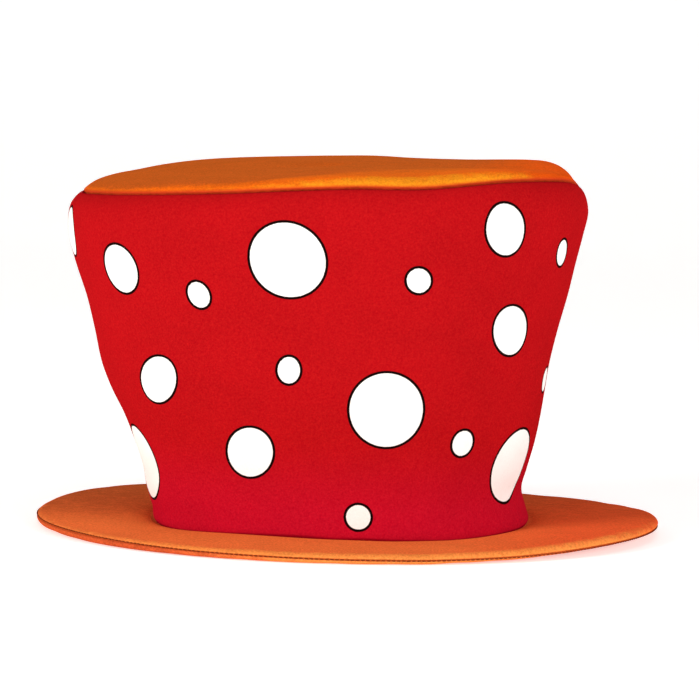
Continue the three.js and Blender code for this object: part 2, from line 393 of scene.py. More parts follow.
# %% Material helpers
def link_or_set(tree, socket, value):
    if isinstance(value, bpy.types.NodeSocket):
        tree.links.new(value, socket)
    else:
        socket.default_value = value


def calculate(tree, operation, *values):
    made = tree.nodes.new("ShaderNodeMath")
    made.operation = operation
    for socket, value in zip(made.inputs, values):
        link_or_set(tree, socket, value)
    return made.outputs[0]


def remap(tree, value, low, high, to_low=0.0, to_high=1.0, ease="SMOOTHSTEP"):
    made = tree.nodes.new("ShaderNodeMapRange")
    made.interpolation_type = ease
    numbers = (value, low, high, to_low, to_high)
    for name, number in zip(("Value", "From Min", "From Max", "To Min", "To Max"), numbers):
        link_or_set(tree, made.inputs[name], number)
    return made.outputs["Result"]


def mix_colours(tree, share, first, second, blend="MIX"):
    made = tree.nodes.new("ShaderNodeMix")
    made.data_type = "RGBA"
    made.blend_type = blend
    link_or_set(tree, made.inputs[0], share)
    link_or_set(tree, made.inputs[6], first)
    link_or_set(tree, made.inputs[7], second)
    return made.outputs[2]


def stored(tree, name):
    made = tree.nodes.new("ShaderNodeAttribute")
    made.attribute_name = name
    return made.outputs["Fac"]


def grain(tree, size_mm, detail=2.0, roughness=0.5, stretch=(1, 1, 1)):
    """Noise with features of about that size, the same from every side."""
    place = tree.nodes.new("ShaderNodeTexCoord")
    scaled = tree.nodes.new("ShaderNodeMapping")
    scaled.inputs["Scale"].default_value = stretch
    tree.links.new(place.outputs["Object"], scaled.inputs["Vector"])
    made = tree.nodes.new("ShaderNodeTexNoise")
    tree.links.new(scaled.outputs["Vector"], made.inputs["Vector"])
    made.inputs["Scale"].default_value = 1 / (size_mm * MM)
    made.inputs["Detail"].default_value = detail
    made.inputs["Roughness"].default_value = roughness
    return made.outputs["Fac"]


def loops(tree, size_mm):
    """The small rounded cells of the knit's loops."""
    place = tree.nodes.new("ShaderNodeTexCoord")
    made = tree.nodes.new("ShaderNodeTexVoronoi")
    made.feature = "SMOOTH_F1"
    tree.links.new(place.outputs["Object"], made.inputs["Vector"])
    made.inputs["Scale"].default_value = 1 / (size_mm * MM)
    return made.outputs["Distance"]


def bump(tree, height, depth_mm, under=None, strength=1.0):
    made = tree.nodes.new("ShaderNodeBump")
    made.inputs["Strength"].default_value = strength
    made.inputs["Distance"].default_value = depth_mm * MM
    tree.links.new(height, made.inputs["Height"])
    if under is not None:
        tree.links.new(under, made.inputs["Normal"])
    return made.outputs["Normal"]


def shade(colour, value):
    """A colour made darker or lighter, as (r, g, b, 1)."""
    return tuple(min(1.0, part * value) for part in colour[:3]) + (1.0,)


def cloth_material(name, roughness, sheen, sheen_colour):
    material = bpy.data.materials.new(name)
    material.use_nodes = True
    shader = material.node_tree.nodes["Principled BSDF"]
    shader.inputs["Roughness"].default_value = roughness
    shader.inputs["Specular IOR Level"].default_value = 0.0
    shader.inputs["Sheen Weight"].default_value = sheen
    shader.inputs["Sheen Roughness"].default_value = 0.45
    shader.inputs["Sheen Tint"].default_value = sheen_colour
    return material, material.node_tree, shader


def mottled(tree, colour, mottle=0.16, blotch=0.06, bloom=0.0):
    """A dyed nap: fine fibres lighter and darker than the dye, and broad soft patches."""
    lighter = tuple(part + bloom for part in shade(colour, 1 + mottle)[:3]) + (1.0,)
    fibres = grain(tree, 1.1, detail=3.0, roughness=0.65)
    spread = remap(tree, fibres, 0.3, 0.7, ease="LINEAR")
    fine = mix_colours(tree, spread, shade(colour, 1 - mottle), lighter)
    patches = remap(tree, grain(tree, 24, detail=1.0), 0.35, 0.65)
    broad = mix_colours(tree, patches, shade(colour, 1 - blotch), shade(colour, 1 + blotch))
    return mix_colours(tree, 0.35, fine, broad)


def height_of(tree):
    """The height above the table, in metres."""
    place = tree.nodes.new("ShaderNodeTexCoord")
    parts = tree.nodes.new("ShaderNodeSeparateXYZ")
    tree.links.new(place.outputs["Object"], parts.inputs[0])
    return parts.outputs["Z"]


def seam_shadow(tree, wide):
    """1 in the bottom of a seam, for the painted shade in its groove."""
    return remap(tree, stored(tree, "seam_distance"), wide * 0.3, wide, 1.0, 0.0)


def nap_bump(tree, under=None):
    """Raised fibres over the knit's loops."""
    knit = bump(tree, loops(tree, 1.3), 0.22, under, strength=0.35)
    return bump(tree, grain(tree, 0.8, detail=3.0, roughness=0.6), 0.3, knit, strength=0.45)


# %% [markdown]
# ## The red cloth and its printed dots
#
# White dots in three sizes are printed on the red with a thin dark line round each. Each
# point of the skin knows how many millimetres it lies outside the nearest dot, so the print
# keeps a crisp edge at any distance. Under 0 is white, then comes the line, then
# the dye. Low down, where the crown is narrow, the red is more crimson and lighter: the
# extra lightness is painted light on the foot, which the crown's overhang shades. In the
# bottom of each seam the red is darkened as painted shade.

# %% Red dotted cloth
RED = (0.47, 0.0026, 0.019)
# The red above the foot is less crimson and darker, so the foot is lighter as painted light where
# the crown's overhang shades it.
UPPER_TINT_AND_SHADE = (0.83, 1.05, 0.34)
UPPER_FROM = 5 * MM
UPPER_TO = 60 * MM
DOT_WHITE = (0.92, 0.91, 0.88)
DOT_LINE_COLOUR = (0.006, 0.002, 0.002)
DOT_LINE = 1.4
PRINT_BLUR = 0.16


def red_dotted_cloth():
    material, tree, shader = cloth_material("red_dotted_cloth", 0.9, 0.06, (0.8, 0.05, 0.05, 1))
    edge = stored(tree, "dot_edge")
    wander = calculate(tree, "SUBTRACT", grain(tree, 1.6, detail=1.0), 0.5)
    frayed = calculate(tree, "MULTIPLY_ADD", wander, 0.22, edge)
    outside_dot = remap(tree, frayed, -PRINT_BLUR, PRINT_BLUR)
    outside_line = remap(tree, frayed, DOT_LINE - PRINT_BLUR, DOT_LINE + PRINT_BLUR)
    white = mottled(tree, DOT_WHITE, mottle=0.04, blotch=0.03)
    inked = mix_colours(tree, outside_dot, white, shade(DOT_LINE_COLOUR, 1))
    dyed = mottled(tree, RED, mottle=0.18, bloom=0.007)
    # Lighter and more crimson on the foot; the lightness is painted light.
    upper = remap(tree, height_of(tree), UPPER_FROM, UPPER_TO)
    dyed = mix_colours(tree, upper, dyed, shade(UPPER_TINT_AND_SHADE, 1), blend="MULTIPLY")
    printed = mix_colours(tree, outside_line, inked, dyed)
    # Painted shade: the red darkens in the bottom of each seam.
    colour = mix_colours(tree, seam_shadow(tree, 2.0), printed, shade(RED, 0.55))
    tree.links.new(colour, shader.inputs["Base Color"])
    tree.links.new(nap_bump(tree), shader.inputs["Normal"])
    return material


RED_CLOTH = red_dotted_cloth()
print("made", RED_CLOTH.name)

# %% [markdown]
# ## The orange cloth, the backing and the thread
#
# The top and the brim are the same knit in orange, each in colours of its own. It pulls
# into small puckers along a seam, where the thread is shorter than the cloth. Its colour
# carries painted light: a golden painted highlight on the roll beside the top's seam and
# on the brim's edge, a lit orange on the top beside the seam and on the front of the brim,
# a plainer orange as painted shade on the level cloth and on the back of the brim behind
# the crown, and painted shade in the bottom of each seam. It is redder towards the right,
# and under the brim's edge seam it is redder and darker as painted shade. The pieces
# store the highlight, the lit share and the redness as shares on their points. The
# backing shows only inside the hat. The thread is a matt twisted polyester.

# %% Orange cloth, backing and thread
# Lit and shaded copies of one orange: first the painted shade of the level cloth, then the lit
# orange, then the golden painted highlight, and last the painted shade in the bottom of a seam.
TOP_ORANGE = {
    "flat": (0.60, 0.099, 0.0095),
    "painted_light": (0.93, 0.135, 0.006),
    "painted_highlight": (0.88, 0.265, 0.011),
    "seam": (0.5, 0.04, 0.01),
}
BRIM_ORANGE = {
    "flat": (0.52, 0.1, 0.027),
    "painted_light": (0.78, 0.152, 0.038),
    "painted_highlight": (0.80, 0.235, 0.05),
    "seam": (0.55, 0.09, 0.02),
}
# Makes the orange redder: towards the right, and under the brim's edge seam, darker too, as
# painted shade.
RUDDY_TINT = (1.0, 0.6, 0.68)
BACKING = (0.72, 0.66, 0.55)
THREAD = (0.14, 0.02, 0.006)


def orange_cloth(name, colours, seam):
    material, tree, shader = cloth_material(name, 0.9, 0.06, (1.0, 0.4, 0.1, 1))
    wander = calculate(tree, "SUBTRACT", grain(tree, 6, detail=2.0), 0.5)

    def share_of(attribute):
        uneven = calculate(tree, "MULTIPLY_ADD", wander, 0.8, stored(tree, attribute))
        return remap(tree, uneven, 0.1, 0.9)

    flat = mottled(tree, colours["flat"], mottle=0.45, blotch=0.1)
    painted_light = mottled(tree, colours["painted_light"], mottle=0.4, blotch=0.08)
    painted_highlight = mottled(tree, colours["painted_highlight"], mottle=0.4, blotch=0.08)
    # Painted light: the lit orange over the shaded one, by the stored share.
    dyed = mix_colours(tree, share_of("painted_light"), flat, painted_light)
    ruddy = shade(RUDDY_TINT, 1)
    dyed = mix_colours(tree, stored(tree, "ruddy"), dyed, ruddy, blend="MULTIPLY")
    # Painted highlight: a golden orange on the rolls beside the seams.
    dyed = mix_colours(tree, share_of("painted_highlight"), dyed, painted_highlight)
    # Painted shade in the bottom of the seam; seam is its width in millimetres.
    colour = mix_colours(tree, seam_shadow(tree, seam), dyed, shade(colours["seam"], 1))
    tree.links.new(colour, shader.inputs["Base Color"])
    near = remap(tree, stored(tree, "seam_distance"), 1.0, 8.0, 1.0, 0.0)
    puckers = calculate(tree, "MULTIPLY", grain(tree, 3.6, detail=1.0), near)
    gathered = bump(tree, puckers, 1.4, strength=0.7)
    tree.links.new(nap_bump(tree, gathered), shader.inputs["Normal"])
    return material


def backing_cloth():
    material, tree, shader = cloth_material("tricot_backing", 0.9, 0.05, (1, 1, 1, 1))
    tree.links.new(mottled(tree, BACKING, mottle=0.06, blotch=0.05), shader.inputs["Base Color"])
    tree.links.new(bump(tree, loops(tree, 1.0), 0.2, strength=0.4), shader.inputs["Normal"])
    return material


def thread_material():
    material, tree, shader = cloth_material("sewing_thread", 0.6, 0.1, (1.0, 0.6, 0.3, 1))
    tree.links.new(mottled(tree, THREAD, mottle=0.2), shader.inputs["Base Color"])
    twist = grain(tree, 0.35, detail=1.0)
    tree.links.new(bump(tree, twist, 0.1, strength=0.6), shader.inputs["Normal"])
    return material


# The last number is the width of the painted shade in each seam, in millimetres.
TOP_CLOTH = orange_cloth("orange_cloth_top", TOP_ORANGE, seam=3.0)
BRIM_CLOTH = orange_cloth("orange_cloth_brim", BRIM_ORANGE, seam=1.0)
TRICOT = backing_cloth()
SEWING_THREAD = thread_material()
print("made", TOP_CLOTH.name, BRIM_CLOTH.name, TRICOT.name, SEWING_THREAD.name)

# %% [markdown]
# ## Where the dots are printed
#
# Round dots in three sizes are printed on the flat cloth. Sewing stretches it, so on the
# hat a dot is a slightly leaning oval of the same area. A dot could be a patch laid on
# the cloth, but its rim would stand proud as no print does. So the cloth's own points
# keep their distance to the nearest dot, and the material draws the print from that.

# %% Printed dots
DOT_ACROSS = {"large": 38.8, "medium": 25.4, "small": 12.7}
DOTS = [
    {"turn": 216.8, "height": 0.781, "size": "medium", "stretch": 1.03, "lean": 0},
    {"turn": 236.0, "height": 0.709, "size": "small", "stretch": 1.23, "lean": -19},
    {"turn": 256.6, "height": 0.804, "size": "large", "stretch": 1.08, "lean": -36},
    {"turn": 287.4, "height": 0.746, "size": "small", "stretch": 1.1, "lean": -32},
    {"turn": 307.2, "height": 0.871, "size": "medium", "stretch": 1.28, "lean": -32},
    {"turn": 329.1, "height": 0.798, "size": "small", "stretch": 1.4, "lean": -28},
    {"turn": 314.3, "height": 0.586, "size": "medium", "stretch": 1.28, "lean": -38},
    {"turn": 221.6, "height": 0.455, "size": "medium", "stretch": 1.42, "lean": 48},
    {"turn": 255.8, "height": 0.489, "size": "small", "stretch": 1.26, "lean": 2},
    {"turn": 282.0, "height": 0.379, "size": "large", "stretch": 1.06, "lean": -13},
    {"turn": 243.8, "height": 0.248, "size": "medium", "stretch": 1.15, "lean": 19},
    {"turn": 304.7, "height": 0.277, "size": "small", "stretch": 1.16, "lean": -2},
    {"turn": 327.4, "height": 0.19, "size": "large", "stretch": 1.04, "lean": 0},
    {"turn": 275.6, "height": 0.068, "size": "small", "stretch": 1.04, "lean": -28},
    {"turn": 200.5, "height": 0.19, "size": "large", "stretch": 1.04, "lean": 0},
    {"turn": 341.5, "height": 0.43, "size": "small", "stretch": 1.0, "lean": 0},
    {"turn": 193.5, "height": 0.88, "size": "medium", "stretch": 1.0, "lean": 0},
    {"turn": 4.0, "height": 0.84, "size": "large", "stretch": 1.06, "lean": 20},
    {"turn": 10.0, "height": 0.4, "size": "medium", "stretch": 1.1, "lean": -15},
    {"turn": 24.0, "height": 0.62, "size": "small", "stretch": 1.08, "lean": 0},
    {"turn": 34.0, "height": 0.2, "size": "small", "stretch": 1.12, "lean": 10},
    {"turn": 40.0, "height": 0.84, "size": "medium", "stretch": 1.08, "lean": -25},
    {"turn": 46.0, "height": 0.46, "size": "large", "stretch": 1.04, "lean": 0},
    {"turn": 62.0, "height": 0.7, "size": "small", "stretch": 1.1, "lean": 15},
    {"turn": 66.0, "height": 0.17, "size": "medium", "stretch": 1.08, "lean": -10},
    {"turn": 80.0, "height": 0.86, "size": "medium", "stretch": 1.1, "lean": 0},
    {"turn": 84.0, "height": 0.44, "size": "small", "stretch": 1.06, "lean": 0},
    {"turn": 103.0, "height": 0.65, "size": "large", "stretch": 1.05, "lean": 30},
    {"turn": 104.0, "height": 0.22, "size": "small", "stretch": 1.12, "lean": 0},
    {"turn": 126.0, "height": 0.36, "size": "medium", "stretch": 1.08, "lean": -20},
    {"turn": 131.0, "height": 0.82, "size": "small", "stretch": 1.1, "lean": 10},
    {"turn": 144.0, "height": 0.12, "size": "small", "stretch": 1.06, "lean": 0},
    {"turn": 152.0, "height": 0.6, "size": "large", "stretch": 1.06, "lean": -15},
    {"turn": 163.0, "height": 0.88, "size": "small", "stretch": 1.1, "lean": 0},
    {"turn": 170.0, "height": 0.33, "size": "small", "stretch": 1.12, "lean": 12},
    {"turn": 181.0, "height": 0.56, "size": "small", "stretch": 1.08, "lean": 0},
]


def crown_point(turn, share):
    turn = np.array([turn])
    return from_crown(turn, crown_outside(turn, share))[0]


def dot_edges(points):
    """How far each point lies outside the nearest dot, in millimetres."""
    nearest = np.full(len(points), 1000.0)
    for dot in DOTS:
        turn = math.radians(dot["turn"])
        lean = math.radians(dot["lean"])
        height = dot["height"]
        away = points - crown_point(turn, height)
        up = unit(crown_point(turn, height + 0.01) - crown_point(turn, height - 0.01))
        beside = np.array((-math.sin(turn), math.cos(turn), 0))
        along = away @ (up * math.cos(lean) + beside * math.sin(lean))
        across = away @ (beside * math.cos(lean) - up * math.sin(lean))
        square = np.sum(away**2, axis=1)
        square_off = square - along**2 - across**2
        unstretched = np.sqrt(along**2 / dot["stretch"] + across**2 * dot["stretch"] + square_off)
        share = DOT_ACROSS[dot["size"]] / 2 / np.maximum(unstretched, 0.001)
        nearest = np.minimum(nearest, np.sqrt(square) * (1 - share))
    return nearest


for size, across in DOT_ACROSS.items():
    print(sum(dot["size"] == size for dot in DOTS), size, "dots,", across, "mm across")

# %% [markdown]
# ## Soft folds and the pull of the seams
#
# The wall isn't stuffed, so it keeps soft folds from lying flat in a box. A simulation
# would put folds in places of its own, so these are given one by one: each row of the
# table pushes one broad patch in or out. Tight thread gathers small puckers at the top
# and the foot, and the plain seam down the back sinks between two low lips.

# %% Soft folds and seams
SOFT_FOLDS = [
    {"turn": 205, "height": 0.38, "wide": 16, "tall": 0.12, "out": -1.6},
    {"turn": 238, "height": 0.6, "wide": 14, "tall": 0.2, "out": 0.7},
    {"turn": 262, "height": 0.5, "wide": 10, "tall": 0.28, "out": -0.7},
    {"turn": 300, "height": 0.5, "wide": 16, "tall": 0.22, "out": 0.6},
    {"turn": 334, "height": 0.14, "wide": 15, "tall": 0.09, "out": -1.3},
    {"turn": 20, "height": 0.5, "wide": 18, "tall": 0.18, "out": -1.2},
    {"turn": 62, "height": 0.28, "wide": 20, "tall": 0.14, "out": 1.0},
    {"turn": 74, "height": 0.6, "wide": 12, "tall": 0.22, "out": -1.4},
    {"turn": 112, "height": 0.42, "wide": 14, "tall": 0.24, "out": -1.2},
    {"turn": 140, "height": 0.7, "wide": 18, "tall": 0.16, "out": 0.9},
    {"turn": 168, "height": 0.46, "wide": 16, "tall": 0.15, "out": -1.3},
]
BACK_SEAM_TURN = math.radians(90)
BACK_SEAM_DEPTH = 1.1
BACK_SEAM_WIDTH = 1.3
BACK_SEAM_LIP = {"out": 0.45, "away": 4, "wide": 2.5}
SEAM_PULL_REACH = 7
PUCKER = 0.22
PUCKER_WAVES = [
    {"count": 53, "phase": 0.3},
    {"count": 71, "phase": 1.9},
    {"count": 94, "phase": 4.1},
    {"count": 127, "phase": 2.2},
]


def ripple(turn, waves):
    """An even-looking but irregular ripple round the hat, between -1 and 1."""
    total = sum(np.sin(turn * wave["count"] + wave["phase"]) for wave in waves)
    return total / len(waves)


def side_offset(turn, share, reach):
    """How far the cloth stands out from its smooth form, in millimetres."""
    offset = np.zeros_like(turn)
    for fold in SOFT_FOLDS:
        away = (np.degrees(turn) - fold["turn"] + 180) % 360 - 180
        lift = (share - fold["height"]) / fold["tall"]
        offset += fold["out"] * np.exp(-((away / fold["wide"]) ** 2) - lift**2)
    height = CROWN_HEIGHT * share
    puckered = np.exp(-(CROWN_HEIGHT - height) / SEAM_PULL_REACH)
    puckered = puckered + np.exp(-height / SEAM_PULL_REACH)
    offset += PUCKER * puckered * ripple(turn, PUCKER_WAVES)
    along = (turn - BACK_SEAM_TURN) * reach
    offset -= BACK_SEAM_DEPTH * np.exp(-((along / BACK_SEAM_WIDTH) ** 2))
    beside = (np.abs(along) - BACK_SEAM_LIP["away"]) / BACK_SEAM_LIP["wide"]
    offset += BACK_SEAM_LIP["out"] * np.exp(-(beside**2))
    return offset


def side_row(turn, share):
    row = crown_outside(turn, share)
    row[:, 0] += side_offset(turn, share, row[:, 0])
    return row


print("deepest fold:", min(fold["out"] for fold in SOFT_FOLDS), "mm")

# %% [markdown]
# ## The crown side
#
# The side is one band of laminate, joined down the back by a plain seam. It flares out
# and rolls in at the shoulder, where it is sewn to the top with the edges turned inside,
# so both pieces end in a soft bend at a deep groove. It sits on the brim in the same
# way. A single sheet with a Solidify modifier would be as thick, but with square cut
# edges in the seams. So its skin is one loop of rings: the foot's bend, the outside,
# the shoulder's bend, and the inside, one thickness further in.

# %% Crown side
SIDE_COLUMNS = 400
SIDE_ROWS = 104
CLOSE_TURNS = (0.1, 0.2, 0.35, 0.5, 0.7)  # degrees either way of the back seam
INSIDE_EVERY = 3  # the inside is plain, so it keeps one row in three of the outside's
INSIDE_FROM = 2  # and starts above the foot's bend
SEAM_BEND = 1.9
SEAM_SHADOW_DEPTH = 1.3
SETTLE = 0.9  # how deep the side sinks into the brim's padding


def side_turns():
    """Even columns, and closer ones beside the back seam."""
    even = np.arange(SIDE_COLUMNS) / SIDE_COLUMNS * 2 * math.pi
    close = np.radians(CLOSE_TURNS)
    beside = (BACK_SEAM_TURN - close, BACK_SEAM_TURN + close)
    return np.unique(np.round(np.concatenate((even, *beside)), 6))


def inward(rows, distance):
    """Rows moved square to the section, towards the inside of the hat."""
    along = np.gradient(rows, axis=0)
    along /= np.linalg.norm(along, axis=-1, keepdims=True)
    return rows + distance * np.stack((-along[..., 1], along[..., 0]), -1)


def in_the_seam(rim):
    """The line a little way down in the seam, where the two cloths press together."""
    return rim + THROUGH_SEAM * SEAM_SHADOW_DEPTH


def crown_side():
    turn = side_turns()
    bend_share = SEAM_BEND / CROWN_HEIGHT
    shares = np.linspace(bend_share, 1 - bend_share, SIDE_ROWS)
    outer = [side_row(turn, share) for share in shares]
    foot = side_row(turn, 0.0)
    foot[:, 1] += along_seam(FOOT_SEAM, turn, "lift") - SETTLE
    turned_foot = foot - np.array((SEAM_BEND, 0))
    seam = side_row(turn, 1.0)
    turned_seam = seam + THROUGH_SEAM * SEAM_BEND
    lower_bend = bend_between(turned_foot, foot, outer[0])
    upper_bend = bend_between(outer[-1], seam, turned_seam)
    face = [turned_foot] + lower_bend + outer + upper_bend + [turned_seam]
    skin = np.stack(outer)[::INSIDE_EVERY]
    inner = inward(skin, CROWN_WALL)[INSIDE_FROM:-1][::-1]
    inner_foot = np.stack((head_reach(turn), foot[:, 1]), -1)
    back = [seam + THROUGH_SEAM * CROWN_WALL] + list(inner) + [inner_foot]
    rows = np.stack(face + back)
    points = from_crown(turn, rows)
    faces = ring_faces(len(rows), len(turn))
    is_back = np.repeat(np.arange(len(rows)) >= len(face), len(turn))
    piece = make_skin("crown_side_cloth", points, faces, (RED_CLOTH, TRICOT), is_back)
    store(piece, "dot_edge", dot_edges(points.reshape(-1, 3)))
    # The distance to the nearest seam, for the painted shade in its bottom.
    from_top = distance_to_loop(points.reshape(-1, 3), from_crown(turn, in_the_seam(seam)))
    from_foot = np.abs(rows[..., 1] - foot[:, 1] - SETTLE).reshape(-1)
    from_back = (np.abs(turn - BACK_SEAM_TURN) * rows[..., 0]).reshape(-1)
    store(piece, "seam_distance", np.minimum(np.minimum(from_top, from_foot), from_back))
    return piece


crown_side_cloth = crown_side()
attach(crown_side_cloth, "root")
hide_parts("crown_side")
print("crown side:", len(DOTS), "dots,", len(crown_side_cloth.data.polygons), "faces")

# %% [markdown]
# ## Puffing the padded pieces
#
# The top and the brim are padded. Their foam presses the cloth outwards while the seams
# hold it, and that is what a cloth simulation does well: the seam rows are pinned and a
# pressure fills the rest. How far a point may move is capped, so the piece keeps its
# place in the frame. A fine net buckles a little under pressure, so each point's travel
# is eased towards that of its neighbours, many times over on the top, which is smooth
# on this hat. Then one subdivision smooths the piece.

# %% Cloth simulation for a padded piece
SIM_FRAMES = 20
FOAM_CLOTH = {
    "quality": 6,
    "mass": 0.15,
    "tension_stiffness": 12,
    "compression_stiffness": 12,
    "shear_stiffness": 6,
    "bending_stiffness": 2,
    "use_pressure": True,
}


def simulated(piece, held, pressure):
    """The piece's points after pressure has filled it, in millimetres."""
    group = piece.vertex_groups.new(name="held")
    for index, weight in enumerate(held.tolist()):
        if weight > 0:
            group.add([index], weight, "REPLACE")
    cloth = piece.modifiers.new("cloth", "CLOTH")
    for name, value in FOAM_CLOTH.items():
        setattr(cloth.settings, name, value)
    cloth.settings.vertex_group_mass = "held"
    cloth.settings.uniform_pressure_force = pressure
    cloth.settings.effector_weights.gravity = 0
    cloth.collision_settings.use_collision = False
    for number in range(1, SIM_FRAMES + 1):
        bpy.context.scene.frame_set(number)
    moved = points_of(piece.evaluated_get(bpy.context.evaluated_depsgraph_get()))
    piece.modifiers.remove(cloth)
    bpy.context.scene.frame_set(1)
    return moved


def evened_out(piece, travel, rounds):
    """Each point's travel eased towards that of its neighbours, so small buckles fade."""
    ends = np.empty(len(piece.data.edges) * 2, int)
    piece.data.edges.foreach_get("vertices", ends)
    one, other = ends.reshape(-1, 2).T
    count = np.bincount(ends, minlength=len(travel))[:, None]
    for _ in range(rounds):
        total = np.zeros_like(travel)
        np.add.at(total, one, travel[other])
        np.add.at(total, other, travel[one])
        travel = (travel + total / count) / 2
    return travel


def puff(piece, held, pressure, cap_mm, rounds, floor_mm=None):
    """Fills a piece with pressure. held is how firmly each point is pinned, 0 to 1."""
    points = points_of(piece)
    travel = simulated(piece, held, pressure) - points
    length = np.linalg.norm(travel, axis=1, keepdims=True)
    capped = cap_mm * np.tanh(length / cap_mm)
    travel *= capped / np.maximum(length, 1e-9)
    points = points + evened_out(piece, travel, rounds)
    print(piece.name, "puffed by up to", round(float(capped.max()), 2), "mm")
    if floor_mm is not None:
        points[:, 2] = np.maximum(points[:, 2], floor_mm)
    piece.data.vertices.foreach_set("co", (points * MM).reshape(-1))
    piece.data.update()


def smooth_once(piece):
    """Applies one level of subdivision."""
    fine = piece.modifiers.new("fine", "SUBSURF")
    fine.levels = 1
    fine.render_levels = 1
    graph = bpy.context.evaluated_depsgraph_get()
    mesh = bpy.data.meshes.new_from_object(piece.evaluated_get(graph))
    old = piece.data
    piece.modifiers.remove(fine)
    piece.data = mesh
    mesh.name = piece.name
    bpy.data.meshes.remove(old)


# %% [markdown]
# ## The crown top
#
# The top is a padded oval. Its edge rolls over and dives into the seam with the red
# shoulder, and the middle rises in a low dome. Rings of points would crowd together in
# the middle, so a square net is laid over the oval instead: its cells are nearly even,
# and the simulation treats the cloth alike everywhere.

# %% A square net bent onto an oval
TOP_CELLS = 64


def net_on_oval(cells):
    """Turn and share of the way out for each point of a square net bent onto an oval."""
    line = np.linspace(-1, 1, cells + 1)
    u, v = np.meshgrid(line, line, indexing="ij")
    x = u * np.sqrt(1 - v**2 / 2)
    y = v * np.sqrt(1 - u**2 / 2)
    return np.arctan2(y, x).reshape(-1), np.hypot(x, y).reshape(-1)


def net_border(cells):
    """The indices of the net's outer points, anticlockwise from above."""
    index = np.arange((cells + 1) ** 2).reshape(cells + 1, cells + 1)
    sides = (index[:-1, 0], index[-1, :-1], index[:0:-1, -1], index[0, :0:-1])
    return np.concatenate(sides)


def net_faces(cells):
    index = np.arange((cells + 1) ** 2).reshape(cells + 1, cells + 1)
    quads = (index[:-1, :-1], index[1:, :-1], index[1:, 1:], index[:-1, 1:])
    return np.stack([quad.reshape(-1) for quad in quads], -1)


def join_faces(lower, upper):
    """Faces between two loops of points."""
    return np.stack((lower, np.roll(lower, -1), np.roll(upper, -1), upper), -1)


print("net:", len(net_faces(TOP_CELLS)), "cells,", len(net_border(TOP_CELLS)), "border points")

# %% Crown top
TOP_BEND_DEPTH = 2.6
TOP_FILL = 1.2  # what the pressure lifts the middle by, taken off beforehand
TOP_ROLL_ANGLES = (74, 64, 53, 42, 31, 20, 10)
TOP_ROWS_HELD = 4  # the rows in the seam, pinned while the pressure fills the top


def crown_top():
    turn, share = net_on_oval(TOP_CELLS)
    border = net_border(TOP_CELLS)
    flat = 1 - TOP_ROLL / crown_outside(turn, 1)[:, 0]
    upper = top_outside(turn, share * flat)
    lower = upper - np.array((0, TOP_THICKNESS))
    upper[:, 1] -= TOP_FILL * (1 - share**4)
    edge_turn = turn[border]
    edge_flat = flat[border]
    rim = crown_outside(edge_turn, 1) + ACROSS_SEAM * SEWN_GAP
    roll = []
    for degrees in TOP_ROLL_ANGLES:
        share_out = edge_flat + (1 - edge_flat) * math.sin(math.radians(degrees))
        roll.append(top_outside(edge_turn, share_out))
    band = [rim + THROUGH_SEAM * TOP_THICKNESS, rim + THROUGH_SEAM * TOP_BEND_DEPTH]
    band += bend_between(band[-1], rim, roll[0]) + roll
    net = len(turn)
    columns = len(border)
    points = [from_crown(turn, lower), from_crown(turn, upper)]
    points += [from_crown(edge_turn, row) for row in band]
    rings = [np.arange(columns) + 2 * net + row * columns for row in range(len(band))]
    loops_up = [border] + rings + [border + net]
    faces = [net_faces(TOP_CELLS)[:, ::-1], net_faces(TOP_CELLS) + net]
    faces += [join_faces(low, high) for low, high in zip(loops_up, loops_up[1:])]
    is_back = np.arange(sum(len(part) for part in faces)) < len(faces[0])
    cloths = (TOP_CLOTH, TRICOT)
    piece = make_skin(
        "crown_top_pad", np.concatenate(points), np.concatenate(faces), cloths, is_back
    )
    held = np.zeros(len(piece.data.vertices))
    held[:net] = 1
    held[2 * net : 2 * net + TOP_ROWS_HELD * columns] = 1
    return piece, held, from_crown(edge_turn, in_the_seam(rim))


crown_top_pad, top_held, top_seam_line = crown_top()
puff(crown_top_pad, top_held, pressure=2.0, cap_mm=1.2, rounds=40)
smooth_once(crown_top_pad)
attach(crown_top_pad, "root")
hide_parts("crown_top")
print("crown top:", len(crown_top_pad.data.polygons), "faces")

# %% Colour shares on the top
RUDDY_FROM = 40
RUDDY_TO = 125


def ruddy_share(points):
    return 1 - fade(points[:, 0] - RUDDY_FROM, RUDDY_TO - RUDDY_FROM)


def store_top_shares(piece, seam_line):
    points = points_of(piece)
    turn = np.arctan2(points[:, 1], points[:, 0] - CROWN_SHIFT)
    from_seam = distance_to_loop(points, seam_line)
    # Painted highlight on the roll beside the seam, and painted light further over the top.
    highlight_share = np.maximum(along_seam(TOP_SEAM, turn, "painted_highlight"), 0)
    store(piece, "seam_distance", from_seam)
    store(piece, "painted_highlight", highlight_share * fade(from_seam, along_seam(TOP_SEAM, turn, "painted_highlight_wide")))
    store(piece, "painted_light", fade(from_seam, along_seam(TOP_SEAM, turn, "painted_light_wide")))
    store(piece, "ruddy", ruddy_share(points))
    print("gold reaches", round(float(highlight_share.max()), 2), "beside the top's seam")


store_top_shares(crown_top_pad, top_seam_line)

# %% [markdown]
# ## The brim
#
# The brim is two ovals of laminate sewn together round the edge and turned, so its edge
# is round with the seam on it. The two layers never match exactly, so the seam rolls
# upwards at the left and under at the right. The side's seam squeezes the brim at the
# head opening. The brim lies flat on the table in places and lifts a few millimetres
# between them. Rings of points suit it better than the top's net, as it has a hole in
# the middle.

# %% The brim's rounded edge
EDGE_GROOVE = 1.2
EDGE_GROOVE_ANGLE = 11
